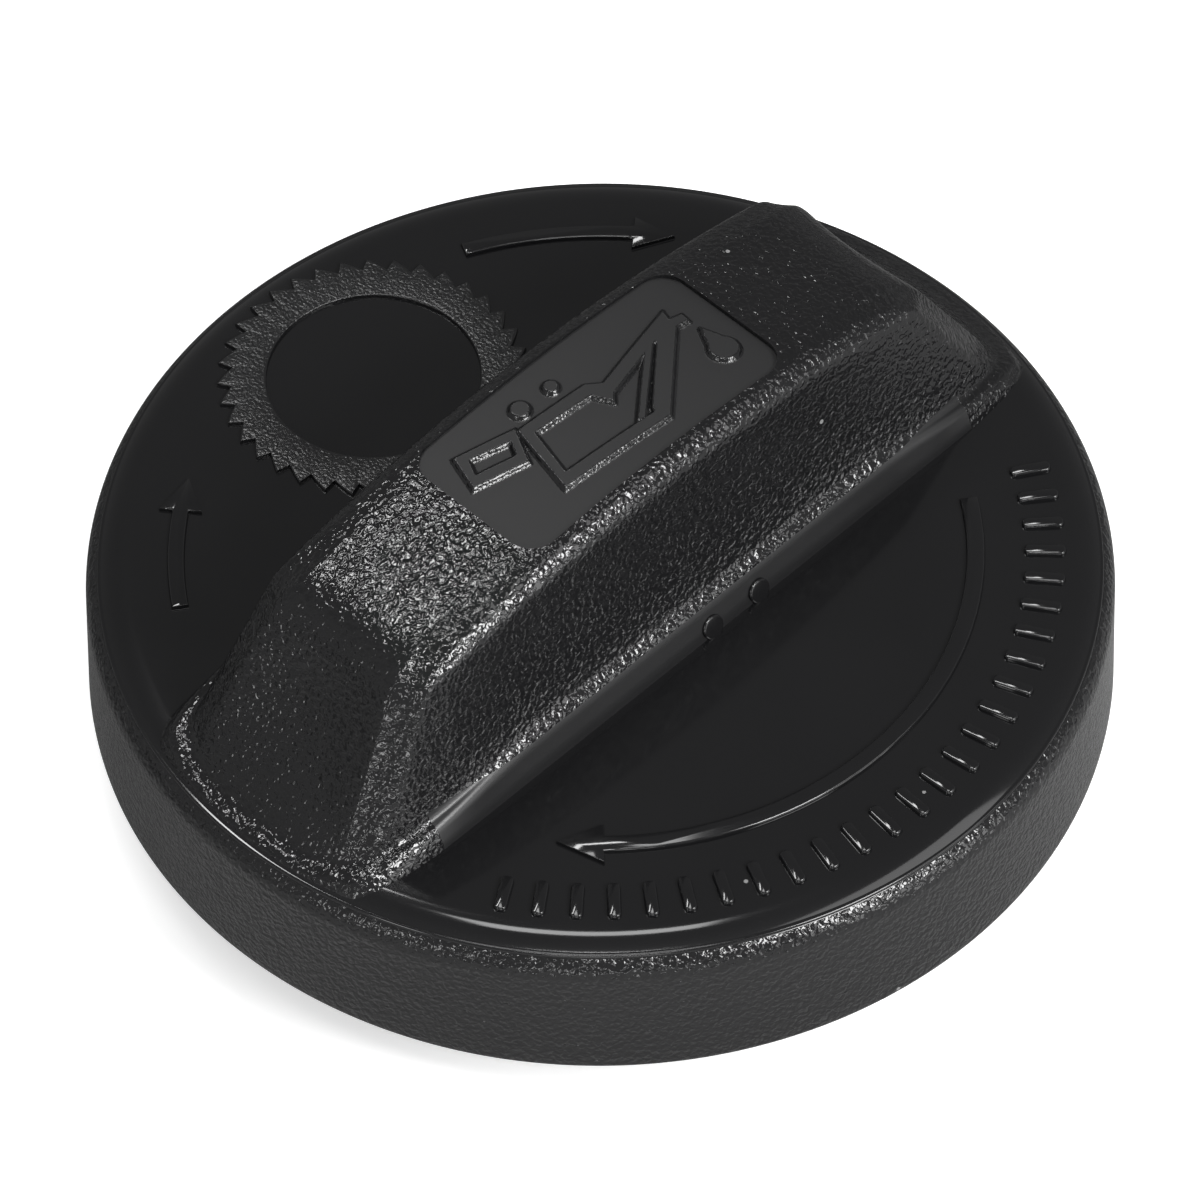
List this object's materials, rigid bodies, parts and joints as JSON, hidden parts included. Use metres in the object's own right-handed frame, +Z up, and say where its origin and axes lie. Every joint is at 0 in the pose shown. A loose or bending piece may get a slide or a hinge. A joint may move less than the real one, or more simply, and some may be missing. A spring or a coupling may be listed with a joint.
{
  "type": "oil filler cap",
  "caption": "Round black oil filler cap with a wing grip moulded across its disc, a hollow bayonet plug under it and a rubber sealing ring round the plug",
  "frame": {"origin": "On the cap's axis, in the plane of the plug's free end, which the cap stands on", "axes": "+Z points up along the cap's axis through the disc, X runs along the grip, and -Y is the side that the sign in the grip faces"},
  "size_m": [0.0706, 0.0706, 0.0333],
  "materials": {
    "shell": "satin grained black, with a smooth glossy disc",
    "seal": "dull black rubber"
  },
  "bodies": {
    "root": {"cap_body": "shell", "seal_ring": "seal"}
  },
  "joints": []
}
